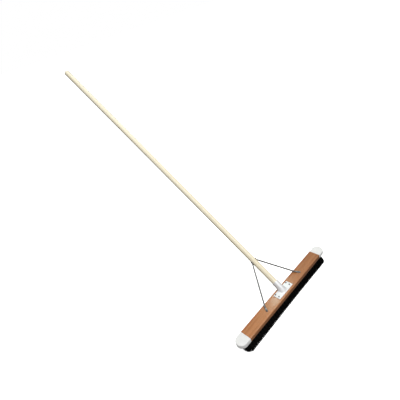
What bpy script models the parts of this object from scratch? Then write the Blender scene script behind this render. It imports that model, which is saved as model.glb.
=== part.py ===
"""A 24 inch push broom for finishing concrete, as an assembly of separate parts.

A varnished wooden stock carries five rows of bristle tufts, a plastic buffer on each end and a
cast bracket. The bracket's slanted socket holds a round wooden handle, and two bent rod stays
brace the handle against the stock.

The frame is in metres with +Z up. The origin is on the floor, under the middle of the stock.
X runs along the stock, -Y is the front, and the handle leans back towards +Y.
"""

import math

import bmesh
import bpy
from mathutils import Matrix, Vector

# Driving dimensions.
GAP = 0.0003  # clearance between neighbouring parts
HEAD_LENGTH = 0.610  # over both buffers
STOCK_LENGTH = 0.510  # between the buffers
STOCK_WIDTH = 0.0508
STOCK_HEIGHT = 0.019
SHOULDER = 0.003  # round along the top edges of the stock and the buffers
BUFFER_WALL = 0.003
TONGUE_SHOULDER = 0.004

TRIM = 0.050  # length of bristle below the stock
TUFT_RADIUS = 0.003
TUFT_PITCH = 0.014  # along a row
TUFT_DEPTH = 0.0075  # of a tuft hole in the stock
ROOT_SHOWING = 0.006  # length of each tuft that stands clear, between the stock and the row's bulk
ROW_PITCH = 0.0088  # between rows, at the stock
TIP_PITCH = 0.0105  # between rows, at the floor
ROW_THICKNESS = 0.0066
TIP_THICKNESS = 0.010
END_FLARE = 0.015  # how far a row's tips reach beyond its last tuft
TUFTS_IN_ROW = (39, 40, 41, 40, 39)  # from the front row to the back row

PLATE_LENGTH = 0.0954
PLATE_WIDTH = 0.0333
PLATE_THICKNESS = 0.0035
PLATE_Y = -0.001
PLATE_CORNER = 0.003
PLATE_EDGE = 0.0008  # bevel round the plate's top
PLATE_SCREW_X = 0.0387
PLATE_SCREW_FRONT_Y = -0.0065
PLATE_SCREW_BACK_Y = 0.0107

HANDLE_RADIUS = 0.0127
HANDLE_LENGTH = 1.524
HANDLE_TILT = math.radians(39)  # above the floor
HANDLE_START = 0.022  # along the handle's axis, from the top of the stock to the foot of the handle
HANDLE_NOSE = 0.006  # length and depth of the rounding at the handle's upper end
HANDLE_CHAMFER = 0.0008  # round the foot of the handle
SOCKET_RADIUS = 0.0148
SOCKET_RIM = 0.048  # along the handle's axis
SOCKET_LIP = 0.0005  # bevel round the rim
SOCKET_FLARE = 0.034  # along the handle's axis, where the round tube ends and the flare begins
FLARE_HALF_LENGTH = 0.023
FLARE_FRONT_Y = -0.0165
FLARE_BACK_Y = 0.0185
FLARE_HEIGHT = 0.004  # of the flare's foot, above the stock
HANDLE_SCREW_ALONG = 0.040  # along the handle's axis

ROD_RADIUS = 0.0032
STAY_TOP_ALONG = 0.172  # along the handle's axis, to the screws that hold the stays
STAY_TAB = 0.0024  # thickness of a stay's flattened ends
STAY_EYE_RADIUS = 0.0046
STAY_BEND_X, STAY_BEND_Y = 0.112, 0.012
STAY_END_X, STAY_END_Y = 0.124, -0.009
STAY_BEND_REACH = 0.0035  # from the bend's corner to where the rod is straight again
STAY_TAB_LENGTH = 0.006  # from the upper screw to where the flat begins to turn into rod

# Fasteners. A screw's length is from the face that its head rests on to its tip.
WOOD_SCREW_RADIUS = 0.0020
SINK_RADIUS = 0.0036  # of a countersunk head
SINK_DEPTH = 0.0017
PLATE_SCREW_LENGTH = 0.0135
PAN_RADIUS, PAN_HEIGHT = 0.0034, 0.0021
SMALL_PAN_RADIUS, SMALL_PAN_HEIGHT = 0.0027, 0.0017
BUFFER_SCREW_LENGTH = 0.011
HANDLE_SCREW_LENGTH = 0.013
STAY_SCREW_LENGTH = 0.0125
CROSS_HALF_ARM = 0.0019
CROSS_HALF_SLOT = 0.00045

# Sizes worked out from those.
STOCK_BOTTOM = TRIM
STOCK_TOP = TRIM + STOCK_HEIGHT
HALF_WIDTH = STOCK_WIDTH / 2
BUFFER_CENTRE = HEAD_LENGTH / 2 - HALF_WIDTH  # centre of a buffer's half-round end
BRACKET_BOTTOM = STOCK_TOP + GAP
PLATE_TOP = BRACKET_BOTTOM + PLATE_THICKNESS
EYE_X = HANDLE_RADIUS + GAP + STAY_TAB / 2
TOP_SCREW_X = EYE_X + STAY_TAB / 2 + GAP  # of the face that an upper screw's head rests on

ARC_STEPS = 18  # straight pieces in a half circle
ROUND_SIDES = 28
SCREW_SIDES = 16
TUFT_SIDES = 6
RING_SIDES = 12

for old in list(bpy.data.objects):
    bpy.data.objects.remove(old, do_unlink=True)


def new_collection(name):
    made = bpy.data.collections.new(name)
    bpy.context.scene.collection.children.link(made)
    return made


PARTS = new_collection("push_broom")
CUTTERS = new_collection("cutters")


# Materials.


def material(name, colour, roughness, metallic=0.0):
    made = bpy.data.materials.new(name)
    made.use_nodes = True
    shader = made.node_tree.nodes["Principled BSDF"]
    shader.inputs["Base Color"].default_value = (*colour, 1.0)
    shader.inputs["Roughness"].default_value = roughness
    shader.inputs["Metallic"].default_value = metallic
    return made


VARNISHED_WOOD = material("varnished_wood", (0.42, 0.17, 0.07), 0.32)
PALE_WOOD = material("pale_wood", (0.82, 0.66, 0.42), 0.55)
WHITE_PLASTIC = material("white_plastic", (0.80, 0.80, 0.77), 0.40)
BLACK_BRISTLE = material("black_bristle", (0.010, 0.010, 0.009), 0.55)
CAST_ALUMINIUM = material("cast_aluminium", (0.74, 0.75, 0.75), 0.45, 1.0)
ZINC_STEEL = material("zinc_steel", (0.50, 0.50, 0.48), 0.35, 1.0)


# Making and placing objects.


def add_object(name, mesh, collection=PARTS):
    made = bpy.data.objects.new(name, mesh)
    collection.objects.link(made)
    if collection is CUTTERS:
        made.hide_render = True
        made.display_type = "WIRE"
    return made


def finish(part, look):
    """Gives a part its material and smooth shading between its sharp edges."""
    part.data.materials.append(look)
    part.data.shade_smooth()
    part.data.set_sharp_from_angle(angle=math.radians(35))
    return part


def mesh_from(name, bm):
    bmesh.ops.recalc_face_normals(bm, faces=bm.faces)
    mesh = bpy.data.meshes.new(name)
    bm.to_mesh(mesh)
    bm.free()
    return mesh


def add_cylinder(bm, radius, low, high, sides, x=0.0, y=0.0):
    middle = Matrix.Translation((x, y, (low + high) / 2))
    bmesh.ops.create_cone(
        bm,
        cap_ends=True,
        segments=sides,
        radius1=radius,
        radius2=radius,
        depth=high - low,
        matrix=middle,
    )


def cylinder(name, radius, low, high, sides=ROUND_SIDES, collection=PARTS):
    bm = bmesh.new()
    add_cylinder(bm, radius, low, high, sides)
    return add_object(name, mesh_from(name, bm), collection)


def prism(name, outline, low, high):
    """The mesh of a flat outline in X and Y that is thickened from low to high."""
    curve = bpy.data.curves.new(name, "CURVE")
    curve.dimensions = "2D"
    curve.fill_mode = "BOTH"
    curve.extrude = (high - low) / 2
    spline = curve.splines.new("POLY")
    spline.points.add(len(outline) - 1)
    for point, (x, y) in zip(spline.points, outline):
        point.co = (x, y, 0.0, 1.0)
    spline.use_cyclic_u = True
    flat = bpy.data.objects.new(name, curve)
    flat.location.z = (low + high) / 2
    PARTS.objects.link(flat)
    bpy.context.view_layer.update()
    evaluated = flat.evaluated_get(bpy.context.evaluated_depsgraph_get())
    mesh = bpy.data.meshes.new_from_object(evaluated)
    mesh.transform(flat.matrix_world)
    bpy.data.objects.remove(flat)
    bm = bmesh.new()
    bm.from_mesh(mesh)
    bmesh.ops.remove_doubles(bm, verts=bm.verts, dist=1e-6)
    bmesh.ops.dissolve_limit(bm, angle_limit=math.radians(1), verts=bm.verts, edges=bm.edges)
    bpy.data.meshes.remove(mesh)
    return bm


def round_top(bm, top, radius, segments, chosen=lambda a, b: True):
    """Rounds the edges at the height top for which chosen(one end, other end) is true."""
    edges = []
    for edge in bm.edges:
        a, b = edge.verts[0].co, edge.verts[1].co
        if min(a.z, b.z) > top - 1e-5 and chosen(a, b):
            edges.append(edge)
    bmesh.ops.bevel(bm, geom=edges, offset=radius, segments=segments, affect="EDGES", profile=0.5)


def turned(name, profile, sides=SCREW_SIDES, collection=PARTS):
    """A body turned about Z from (radius, height) points that run down its outer side."""
    bm = bmesh.new()
    points = [bm.verts.new((radius, 0.0, height)) for radius, height in profile]
    for above, below in zip(points, points[1:]):
        bm.edges.new((above, below))
    mesh = bpy.data.meshes.new(name)
    bm.to_mesh(mesh)
    bm.free()
    made = add_object(name, mesh, collection)
    screw = made.modifiers.new("turn", "SCREW")
    screw.axis = "Z"
    screw.steps = screw.render_steps = sides
    screw.use_merge_vertices = True
    screw.merge_threshold = 0.00001
    screw.use_smooth_shade = True
    return made


def line_up(rings):
    """The rings, each started at the point that leaves the least twist from the one before."""
    count = len(rings[0])
    lined = [rings[0]]
    for section in rings[1:]:
        last = lined[-1]
        twist = [
            sum((section[(i + first) % count] - last[i]).length for i in range(count))
            for first in range(count)
        ]
        first = twist.index(min(twist))
        lined.append(section[first:] + section[:first])
    return lined


def lofted(name, rings):
    """A closed skin over rings that all have the same number of points."""
    bm = bmesh.new()
    loops = [[bm.verts.new(point) for point in section] for section in line_up(rings)]
    for lower, upper in zip(loops, loops[1:]):
        for i in range(len(lower)):
            j = (i + 1) % len(lower)
            bm.faces.new((lower[i], lower[j], upper[j], upper[i]))
    bm.faces.new(loops[0])
    bm.faces.new(loops[-1])
    return mesh_from(name, bm)


def combine(part, other, operation):
    step = part.modifiers.new(other.name, "BOOLEAN")
    step.operation = operation
    step.object = other
    step.solver = "EXACT"


def cut(part, *cutters):
    for cutter in cutters:
        combine(part, cutter, "DIFFERENCE")


def place(part, x, y, z, parent=None, turn=(0.0, 0.0, 0.0)):
    part.location = (x, y, z)
    part.rotation_euler = turn
    part.parent = parent
    return part


TO_PLUS_X = (0.0, math.radians(90), 0.0)  # turns a part's +Z to +X
TO_MINUS_X = (0.0, math.radians(-90), 0.0)  # turns a part's +Z to -X
TO_PLUS_Y = (math.radians(-90), 0.0, 0.0)  # turns a part's +Z to +Y

# +Z of this empty runs up the handle, and its +Y is the handle's underside.
handle_axis = bpy.data.objects.new("handle_axis", None)
PARTS.objects.link(handle_axis)
place(handle_axis, 0.0, 0.0, STOCK_TOP, turn=(HANDLE_TILT - math.radians(90), 0.0, 0.0))


# Stock, buffers and what is cut from them.


def arc(centre_x, radius, start, end):
    """Points on a circle about (centre_x, 0), between two angles in degrees."""
    angles = (math.radians(start + (end - start) * i / ARC_STEPS) for i in range(ARC_STEPS + 1))
    return [(centre_x + radius * math.cos(a), radius * math.sin(a)) for a in angles]


def core(name, grow, bottom):
    """The mesh of the stock's full-length core, whose two ends are the tongues in the buffers."""
    radius = HALF_WIDTH - BUFFER_WALL - GAP + grow
    top = STOCK_TOP - BUFFER_WALL - GAP + grow
    outline = arc(BUFFER_CENTRE, radius, -90, 90) + arc(-BUFFER_CENTRE, radius, 90, 270)
    bm = prism(name, outline, bottom, top)
    round_top(bm, top, TONGUE_SHOULDER, 3)
    return mesh_from(name, bm)


def row_tufts(row):
    """The places of a row's tufts along X."""
    count = TUFTS_IN_ROW[row]
    return [(i - (count - 1) / 2) * TUFT_PITCH for i in range(count)]


def row_offset(row, pitch):
    return (row - (len(TUFTS_IN_ROW) - 1) / 2) * pitch


def tuft_holes():
    bm = bmesh.new()
    for row in range(len(TUFTS_IN_ROW)):
        for x in row_tufts(row):
            add_cylinder(
                bm,
                TUFT_RADIUS + GAP,
                STOCK_BOTTOM - TUFT_DEPTH,
                STOCK_BOTTOM + TUFT_DEPTH,
                TUFT_SIDES,
                x,
                row_offset(row, ROW_PITCH),
            )
    return add_object("tuft_holes", mesh_from("tuft_holes", bm), CUTTERS)


def build_stock():
    bm = bmesh.new()
    middle = Matrix.Translation((0.0, 0.0, (STOCK_BOTTOM + STOCK_TOP) / 2))
    size = Matrix.Diagonal((STOCK_LENGTH, STOCK_WIDTH, STOCK_HEIGHT, 1.0))
    bmesh.ops.create_cube(bm, size=1.0, matrix=middle @ size)
    round_top(bm, STOCK_TOP, SHOULDER, 6, lambda a, b: abs(a.y - b.y) < 1e-5)
    stock = add_object("stock", mesh_from("stock", bm))
    tongues = add_object("stock_core", core("stock_core", 0.0, STOCK_BOTTOM), CUTTERS)
    combine(stock, tongues, "UNION")
    cut(stock, tuft_holes())
    return finish(stock, VARNISHED_WOOD)


def build_buffer(name, side, cavity):
    face = side * (STOCK_LENGTH / 2 + GAP)
    end = [(side * x, y) for x, y in arc(BUFFER_CENTRE, HALF_WIDTH, -90, 90)]
    outline = [(face, -HALF_WIDTH)] + end + [(face, HALF_WIDTH)]
    bm = prism(name, outline, STOCK_BOTTOM, STOCK_TOP)
    round_top(bm, STOCK_TOP, SHOULDER, 6, lambda a, b: abs(a.x + b.x - 2 * face) > 1e-5)
    shell = add_object(name, mesh_from(name, bm))
    cut(shell, cavity)
    return finish(shell, WHITE_PLASTIC)


# Screws, which point along -Z from the face that they rest on.


def cut_cross(screw, floor):
    """Cuts a cross into a screw's head, down to the floor's height.

    One slot is a hair shallower than the other, so that their floors are two separate faces.
    """
    height = 0.004
    for way, half_x, half_y, lift in (
        ("x", CROSS_HALF_ARM, CROSS_HALF_SLOT, 0.0),
        ("y", CROSS_HALF_SLOT, CROSS_HALF_ARM, 0.0001),
    ):
        bm = bmesh.new()
        size = Matrix.Diagonal((2 * half_x, 2 * half_y, height, 1.0))
        middle = Matrix.Translation((0.0, 0.0, floor + lift + height / 2))
        bmesh.ops.create_cube(bm, size=1.0, matrix=middle @ size)
        name = f"{screw.name}_slot_{way}"
        slot = add_object(name, mesh_from(name, bm), CUTTERS)
        slot.parent = screw
        cut(screw, slot)


def pan_screw(name, length, head_radius=PAN_RADIUS, head_height=PAN_HEIGHT):
    """A screw with a domed head that sits on its face."""
    tip = WOOD_SCREW_RADIUS * 1.2
    screw = turned(
        name,
        [
            (0.0, head_height),
            (head_radius * 0.55, head_height * 0.92),
            (head_radius * 0.88, head_height * 0.62),
            (head_radius, head_height * 0.15),
            (head_radius * 0.97, 0.0),
            (WOOD_SCREW_RADIUS, 0.0),
            (WOOD_SCREW_RADIUS, tip - length),
            (0.0, -length),
        ],
    )
    cut_cross(screw, head_height * 0.4)
    return finish(screw, ZINC_STEEL)


def countersunk_screw(name, length):
    """A screw with a raised countersunk head, whose rim is level with its face."""
    crown = SINK_RADIUS * 0.22
    tip = WOOD_SCREW_RADIUS * 1.2
    screw = turned(
        name,
        [
            (0.0, crown),
            (SINK_RADIUS * 0.6, crown * 0.75),
            (SINK_RADIUS, 0.0),
            (WOOD_SCREW_RADIUS, -SINK_DEPTH),
            (WOOD_SCREW_RADIUS, tip - length),
            (0.0, -length),
        ],
    )
    cut_cross(screw, -SINK_DEPTH * 0.4)
    return finish(screw, ZINC_STEEL)


def pilot_hole(name, length, radius=WOOD_SCREW_RADIUS):
    """A cutter for a screw's hole, from a little above the face that the screw rests on."""
    return cylinder(name, radius + GAP, -length - GAP, 0.004, SCREW_SIDES, CUTTERS)


def sunk_hole(name, length):
    """A cutter for a countersunk screw's hole and the seat of its head."""
    rim = SINK_RADIUS + GAP * math.sqrt(2)
    hole = WOOD_SCREW_RADIUS + GAP
    above = 0.002
    seat = [
        (0.0, above),
        (rim + above, above),
        (hole, hole - rim),
        (hole, -length - GAP),
        (0.0, -length - GAP),
    ]
    return turned(name, seat, collection=CUTTERS)


# Bracket.


def handle_point(along, around, radius):
    """A point on a tube about the handle's axis. Around is 90 degrees on its upper side."""
    up = Vector((0.0, -math.sin(HANDLE_TILT), math.cos(HANDLE_TILT)))
    axis = Vector((0.0, math.cos(HANDLE_TILT), math.sin(HANDLE_TILT)))
    start = Vector((0.0, 0.0, STOCK_TOP))
    across = Vector((math.cos(around), 0.0, 0.0)) + math.sin(around) * up
    return start + along * axis + radius * across


def socket_rings():
    """Sections of the socket, from its foot on the stock, through the flare, to its rim."""
    angles = [math.radians(360 * i / ROUND_SIDES) for i in range(ROUND_SIDES)]
    middle_y = (FLARE_FRONT_Y + FLARE_BACK_Y) / 2
    half_depth = (FLARE_BACK_Y - FLARE_FRONT_Y) / 2
    sections = []
    for share in (0.0, 0.2, 0.4, 0.6, 0.8, 1.0):
        section = []
        for a in angles:
            foot_x = FLARE_HALF_LENGTH * math.cos(a)
            foot = Vector((foot_x, middle_y - half_depth * math.sin(a), BRACKET_BOTTOM))
            rise = FLARE_HEIGHT - SOCKET_RADIUS * math.sin(a) * math.cos(HANDLE_TILT)
            corner = handle_point(rise / math.sin(HANDLE_TILT), a, SOCKET_RADIUS)
            tube = handle_point(SOCKET_FLARE, a, SOCKET_RADIUS)
            left = 1.0 - share
            section.append(left * left * foot + 2 * left * share * corner + share * share * tube)
        sections.append(section)
    for inset, along in ((0.0, SOCKET_RIM - SOCKET_LIP), (SOCKET_LIP, SOCKET_RIM)):
        sections.append([handle_point(along, a, SOCKET_RADIUS - inset) for a in angles])
    return sections


def build_bracket():
    """A screwed-down plate and a slanted socket, cast in one."""
    x, y = PLATE_LENGTH / 2 - PLATE_CORNER, PLATE_WIDTH / 2 - PLATE_CORNER
    outline = []
    for i, (corner_x, corner_y) in enumerate(((x, y), (-x, y), (-x, -y), (x, -y))):
        for step in range(5):
            a = math.radians(90 * i + 22.5 * step)
            across = corner_x + PLATE_CORNER * math.cos(a)
            outline.append((across, PLATE_Y + corner_y + PLATE_CORNER * math.sin(a)))
    bm = prism("handle_bracket", outline, BRACKET_BOTTOM, PLATE_TOP)
    round_top(bm, PLATE_TOP, PLATE_EDGE, 2)
    bracket = add_object("handle_bracket", mesh_from("handle_bracket", bm))
    combine(bracket, add_object("socket", lofted("socket", socket_rings()), CUTTERS), "UNION")
    bore = cylinder(
        "socket_bore",
        HANDLE_RADIUS + GAP,
        HANDLE_START - GAP,
        SOCKET_RIM + 0.01,
        collection=CUTTERS,
    )
    cut(bracket, place(bore, 0.0, 0.0, 0.0, handle_axis))
    return finish(bracket, CAST_ALUMINIUM)


# Handle and stays.


def build_handle():
    steps = 5
    end = HANDLE_START + HANDLE_LENGTH
    profile = [(0.0, end)]
    for i in range(steps + 1):
        a = math.radians(90 * (1 - i / steps))
        radius = HANDLE_RADIUS - HANDLE_NOSE * (1 - math.cos(a))
        profile.append((radius, end - HANDLE_NOSE * (1 - math.sin(a))))
    profile.append((HANDLE_RADIUS, HANDLE_START + HANDLE_CHAMFER))
    profile.append((HANDLE_RADIUS - HANDLE_CHAMFER, HANDLE_START))
    profile.append((0.0, HANDLE_START))
    handle = turned("handle", profile, ROUND_SIDES)
    handle.parent = handle_axis
    return finish(handle, PALE_WOOD)


def ring(centre, along, thick_way, half_width, half_thick):
    """A section of a stay: round where both halves are equal, and flat where they aren't."""
    flat = half_thick < 0.8 * half_width
    power = 0.5 if flat else 1.0
    thick = (thick_way - along * thick_way.dot(along)).normalized()
    wide = along.cross(thick)
    points = []
    for i in range(RING_SIDES):
        a = 2 * math.pi * (i + 0.5) / RING_SIDES
        across = math.copysign(abs(math.cos(a)) ** power, math.cos(a))
        up = math.copysign(abs(math.sin(a)) ** power, math.sin(a))
        points.append(centre + half_width * across * wide + half_thick * up * thick)
    return points


def eye_rings(hole, along, thick_way, angles):
    """Sections of a flattened end that is round about its hole, at angles from the hole's."""
    rings = []
    for angle in map(math.radians, angles):
        centre = hole + along * STAY_EYE_RADIUS * math.sin(angle)
        half_width = STAY_EYE_RADIUS * math.cos(angle)
        rings.append(ring(centre, along, thick_way, half_width, STAY_TAB / 2))
    return rings


def stay_rings():
    """Sections of the right stay, and the place of the hole in its foot.

    It is a rod with both ends flattened: one lies along the handle, the other on the stock.
    """
    out = Vector((1.0, 0.0, 0.0))
    up = Vector((0.0, 0.0, 1.0))
    half_tab = STAY_TAB / 2
    rest = STOCK_TOP + GAP + ROD_RADIUS
    eye = handle_point(STAY_TOP_ALONG, 0.0, 0.0) + EYE_X * out
    bend = Vector((STAY_BEND_X, STAY_BEND_Y, rest))
    end = Vector((STAY_END_X, STAY_END_Y, rest))
    foot_way = (end - bend).normalized()
    tab_way = Vector((0.0, bend.y - eye.y, bend.z - eye.z)).normalized()
    tab_end = eye + tab_way * STAY_TAB_LENGTH
    rod_way = (bend - tab_end).normalized()

    # The flat about the upper hole narrows and thickens into the rod.
    rings = eye_rings(eye, tab_way, out, (-80, -60, -35, 0))
    for share, half_width in ((0.55, 0.96), (1.0, 0.84)):
        centre = eye + tab_way * STAY_TAB_LENGTH * share
        rings.append(ring(centre, tab_way, out, STAY_EYE_RADIUS * half_width, half_tab))
    for onward, half_width, half_thick in ((0.4, 1.2, 0.73), (0.85, 1.0, 1.0)):
        centre = tab_end + rod_way * STAY_TAB_LENGTH * onward
        rings.append(ring(centre, rod_way, out, ROD_RADIUS * half_width, ROD_RADIUS * half_thick))

    # The rod, and its bend on the stock.
    bend_way = (rod_way + foot_way).normalized()
    bend_middle = bend + (foot_way - rod_way) * STAY_BEND_REACH / 4
    for centre, way in (
        (bend - rod_way * STAY_BEND_REACH, rod_way),
        (bend_middle, bend_way),
        (bend + foot_way * STAY_BEND_REACH, foot_way),
        (end - foot_way * STAY_EYE_RADIUS * 3.6, foot_way),
    ):
        rings.append(ring(centre, way, up, ROD_RADIUS, ROD_RADIUS))

    # The foot, pressed flat down to the stock.
    for back, half_width, half_thick in ((2.8, 0.76, half_tab * 1.6), (2.1, 0.95, half_tab)):
        centre = end - up * (ROD_RADIUS - half_thick) - foot_way * STAY_EYE_RADIUS * back
        rings.append(ring(centre, foot_way, up, STAY_EYE_RADIUS * half_width, half_thick))
    hole = end - up * (ROD_RADIUS - half_tab) - foot_way * STAY_EYE_RADIUS
    rings += eye_rings(hole, foot_way, up, (0, 35, 60, 80))
    return rings, hole


def build_stay(name, side, top_hole):
    rings, foot = stay_rings()
    across = Matrix.Diagonal((side, 1.0, 1.0))
    sections = [[across @ point for point in section] for section in rings]
    stay = add_object(name, lofted(name, sections))
    foot_hole = cylinder(
        name + "_foot_hole",
        WOOD_SCREW_RADIUS + GAP,
        -0.01,
        0.01,
        SCREW_SIDES,
        CUTTERS,
    )
    foot_hole.location = across @ foot
    cut(stay, top_hole, foot_hole)
    finish(stay, ZINC_STEEL)
    return foot_hole.location


# Bristles.


def row_sections(row):
    """The lower and upper faces of a row's bulk, which spreads towards the floor."""
    bulk_top = STOCK_BOTTOM - ROOT_SHOWING
    reach = row_tufts(row)[-1]
    root, tip = row_offset(row, ROW_PITCH), row_offset(row, TIP_PITCH)
    sections = []
    for half_length, middle, thickness, height in (
        (reach + END_FLARE, tip, TIP_THICKNESS, 0.0),
        (reach + TUFT_RADIUS + 0.001, root, ROW_THICKNESS, bulk_top),
    ):
        half = thickness / 2
        corners = ((-half_length, -half), (half_length, -half), (half_length, half), (-half_length, half))
        sections.append([Vector((x, middle + y, height)) for x, y in corners])
    return sections


def build_row(row):
    """A row's bulk, with the root of each tuft standing on top and reaching into its hole."""
    name = f"bristle_row_{row + 1}"
    part = add_object(name, lofted(name, row_sections(row)))
    bm = bmesh.new()
    for x in row_tufts(row):
        low = STOCK_BOTTOM - ROOT_SHOWING - 0.002
        high = STOCK_BOTTOM + TUFT_DEPTH - GAP
        add_cylinder(bm, TUFT_RADIUS, low, high, TUFT_SIDES, x, row_offset(row, ROW_PITCH))
    roots = add_object(name + "_roots", mesh_from(name + "_roots", bm), CUTTERS)
    combine(part, roots, "UNION")
    return finish(part, BLACK_BRISTLE)


# The assembly.


def fit_buffers(stock):
    """Each buffer slides over a tongue of the stock and is held by a screw in its back wall."""
    along, height = STOCK_LENGTH / 2 + 0.010, STOCK_BOTTOM + 0.0102
    cavity = add_object("buffer_cavity", core("buffer_cavity", GAP, STOCK_BOTTOM - 0.002), CUTTERS)
    for name, side in (("left", -1), ("right", 1)):
        shell = build_buffer("buffer_" + name, side, cavity)
        screw = pan_screw(
            "buffer_screw_" + name,
            BUFFER_SCREW_LENGTH,
            SMALL_PAN_RADIUS,
            SMALL_PAN_HEIGHT,
        )
        hole = pilot_hole("buffer_screw_hole_" + name, BUFFER_SCREW_LENGTH)
        for item in (screw, hole):
            place(item, side * along, HALF_WIDTH + GAP, height, turn=TO_PLUS_Y)
        cut(shell, hole)
        cut(stock, hole)


def fit_bracket(stock, bracket):
    spots = {
        "front_left": (-PLATE_SCREW_X, PLATE_SCREW_FRONT_Y),
        "front_right": (PLATE_SCREW_X, PLATE_SCREW_FRONT_Y),
        "back_left": (-PLATE_SCREW_X, PLATE_SCREW_BACK_Y),
        "back_right": (PLATE_SCREW_X, PLATE_SCREW_BACK_Y),
    }
    for name, (x, y) in spots.items():
        screw = countersunk_screw("bracket_screw_" + name, PLATE_SCREW_LENGTH)
        hole = sunk_hole("bracket_hole_" + name, PLATE_SCREW_LENGTH)
        for item in (screw, hole):
            place(item, x, y, PLATE_TOP)
        cut(bracket, hole)
        cut(stock, hole)


def fit_handle(bracket, handle):
    """A screw through the underside of the socket holds the handle."""
    screw = pan_screw("handle_screw", HANDLE_SCREW_LENGTH, SMALL_PAN_RADIUS, SMALL_PAN_HEIGHT)
    hole = pilot_hole("handle_screw_hole", HANDLE_SCREW_LENGTH)
    for item in (screw, hole):
        place(item, 0.0, SOCKET_RADIUS + GAP, HANDLE_SCREW_ALONG, handle_axis, TO_PLUS_Y)
    cut(bracket, hole)
    cut(handle, hole)


def fit_stays(stock, handle):
    """Each stay is held by a screw in the handle's side and by one in the top of the stock."""
    for name, side, turn in (("left", -1, TO_MINUS_X), ("right", 1, TO_PLUS_X)):
        top_screw = pan_screw("stay_top_screw_" + name, STAY_SCREW_LENGTH)
        top_hole = pilot_hole("stay_top_hole_" + name, STAY_SCREW_LENGTH)
        for item in (top_screw, top_hole):
            place(item, side * TOP_SCREW_X, 0.0, STAY_TOP_ALONG, handle_axis, turn)
        cut(handle, top_hole)
        foot = build_stay("stay_" + name, side, top_hole)
        foot_screw = pan_screw("stay_foot_screw_" + name, STAY_SCREW_LENGTH)
        foot_hole = pilot_hole("stay_foot_hole_" + name, STAY_SCREW_LENGTH)
        for item in (foot_screw, foot_hole):
            place(item, foot.x, foot.y, STOCK_TOP + STAY_TAB + 2 * GAP)
        cut(stock, foot_hole)


stock_part = build_stock()
bracket_part = build_bracket()
handle_part = build_handle()
fit_buffers(stock_part)
fit_bracket(stock_part, bracket_part)
fit_handle(bracket_part, handle_part)
fit_stays(stock_part, handle_part)
for row_number in range(len(TUFTS_IN_ROW)):
    build_row(row_number)
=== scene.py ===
"""The looks of a 24 inch push broom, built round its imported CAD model.

Each CAD node is replaced by a finer piece in the same place: the bristle rows by separate
filaments, and the stock, buffers, bracket, handle, stays and fasteners by smooth, rounded
versions of themselves. Metres, +Z up, with X along the stock and the handle leaning to +Y.
"""

import math

import bmesh
import bpy
import numpy as np
from mathutils import Matrix, Vector


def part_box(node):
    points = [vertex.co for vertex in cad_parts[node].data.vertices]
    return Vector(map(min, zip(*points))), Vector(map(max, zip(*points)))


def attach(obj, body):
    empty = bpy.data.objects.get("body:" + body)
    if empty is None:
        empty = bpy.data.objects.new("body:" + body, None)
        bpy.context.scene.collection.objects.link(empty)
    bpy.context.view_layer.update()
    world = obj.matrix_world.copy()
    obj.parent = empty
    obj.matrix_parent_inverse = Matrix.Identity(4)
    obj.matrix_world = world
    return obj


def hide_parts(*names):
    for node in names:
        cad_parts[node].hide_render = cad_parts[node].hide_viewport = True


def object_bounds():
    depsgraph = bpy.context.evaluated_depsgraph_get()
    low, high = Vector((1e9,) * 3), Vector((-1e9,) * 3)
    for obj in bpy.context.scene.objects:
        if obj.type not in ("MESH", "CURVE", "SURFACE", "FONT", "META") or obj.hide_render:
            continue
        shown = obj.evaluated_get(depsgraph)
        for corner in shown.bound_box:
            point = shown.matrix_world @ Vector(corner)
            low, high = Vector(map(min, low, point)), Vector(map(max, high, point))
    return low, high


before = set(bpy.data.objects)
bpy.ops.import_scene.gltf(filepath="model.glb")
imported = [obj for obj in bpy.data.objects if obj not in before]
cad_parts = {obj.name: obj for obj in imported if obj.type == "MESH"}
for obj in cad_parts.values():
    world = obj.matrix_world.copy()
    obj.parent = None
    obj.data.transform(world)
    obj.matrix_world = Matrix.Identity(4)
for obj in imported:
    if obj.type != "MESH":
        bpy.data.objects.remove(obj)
cad_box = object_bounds()

BODY = "root"
GAP = 0.0003  # clearance between neighbouring CAD parts
ROUND_SIDES = 72
SCREW_SIDES = 40

# Places and sizes from the frame.


def middle(node):
    low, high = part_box(node)
    return (low + high) / 2


stock_low, stock_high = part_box("stock")
TOP, BOTTOM = stock_high.z, stock_low.z  # of the stock
HALF_WIDTH = stock_high.y
HALF_LENGTH = -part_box("buffer_left")[1].x - GAP  # of the stock between the buffers
HEAD_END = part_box("buffer_right")[1].x
END_CENTRE = HEAD_END - HALF_WIDTH  # centre of a buffer's half-round end

X_WAY, Y_WAY, UP = Vector((1, 0, 0)), Vector((0, 1, 0)), Vector((0, 0, 1))
stay_top = middle("stay_top_screw_right")
AXIS = Vector((0, stay_top.y, stay_top.z - TOP)).normalized()  # up the handle
UNDER = Vector((0, AXIS.z, -AXIS.y))  # the handle's underside
ON_HANDLE = Matrix.Translation((0, 0, TOP)) @ Matrix((X_WAY, UNDER, AXIS)).transposed().to_4x4()

HANDLE_RADIUS = 0.0127
NOSE = 0.006  # rounding at the upper end
FOOT_CHAMFER = 0.0008
handle_low, handle_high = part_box("handle")
# Both along the axis from the top of the stock, worked out from the box of the CAD handle.
HANDLE_START = (handle_low.z - TOP + HANDLE_RADIUS * AXIS.y) / AXIS.z - FOOT_CHAMFER
HANDLE_END = (handle_high.y - (HANDLE_RADIUS - NOSE) * AXIS.z - NOSE) / AXIS.y + NOSE

SHOULDER = 0.003  # round along the top edges of the stock and the buffers
SHOULDER_STEPS = 14
STOCK_EASE = 0.0007  # round along the bottom edges of the stock
STOCK_END_EASE = 0.0003
BUFFER_RIM = 0.001  # round along the bottom edge of a buffer
BUFFER_WALL = 0.003
TONGUE_SHOULDER = 0.004
TONGUE_STEPS = 8

# Mesh tools.


def add_object(name, mesh):
    made = bpy.data.objects.new(name, mesh)
    bpy.context.scene.collection.objects.link(made)
    return made


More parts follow.
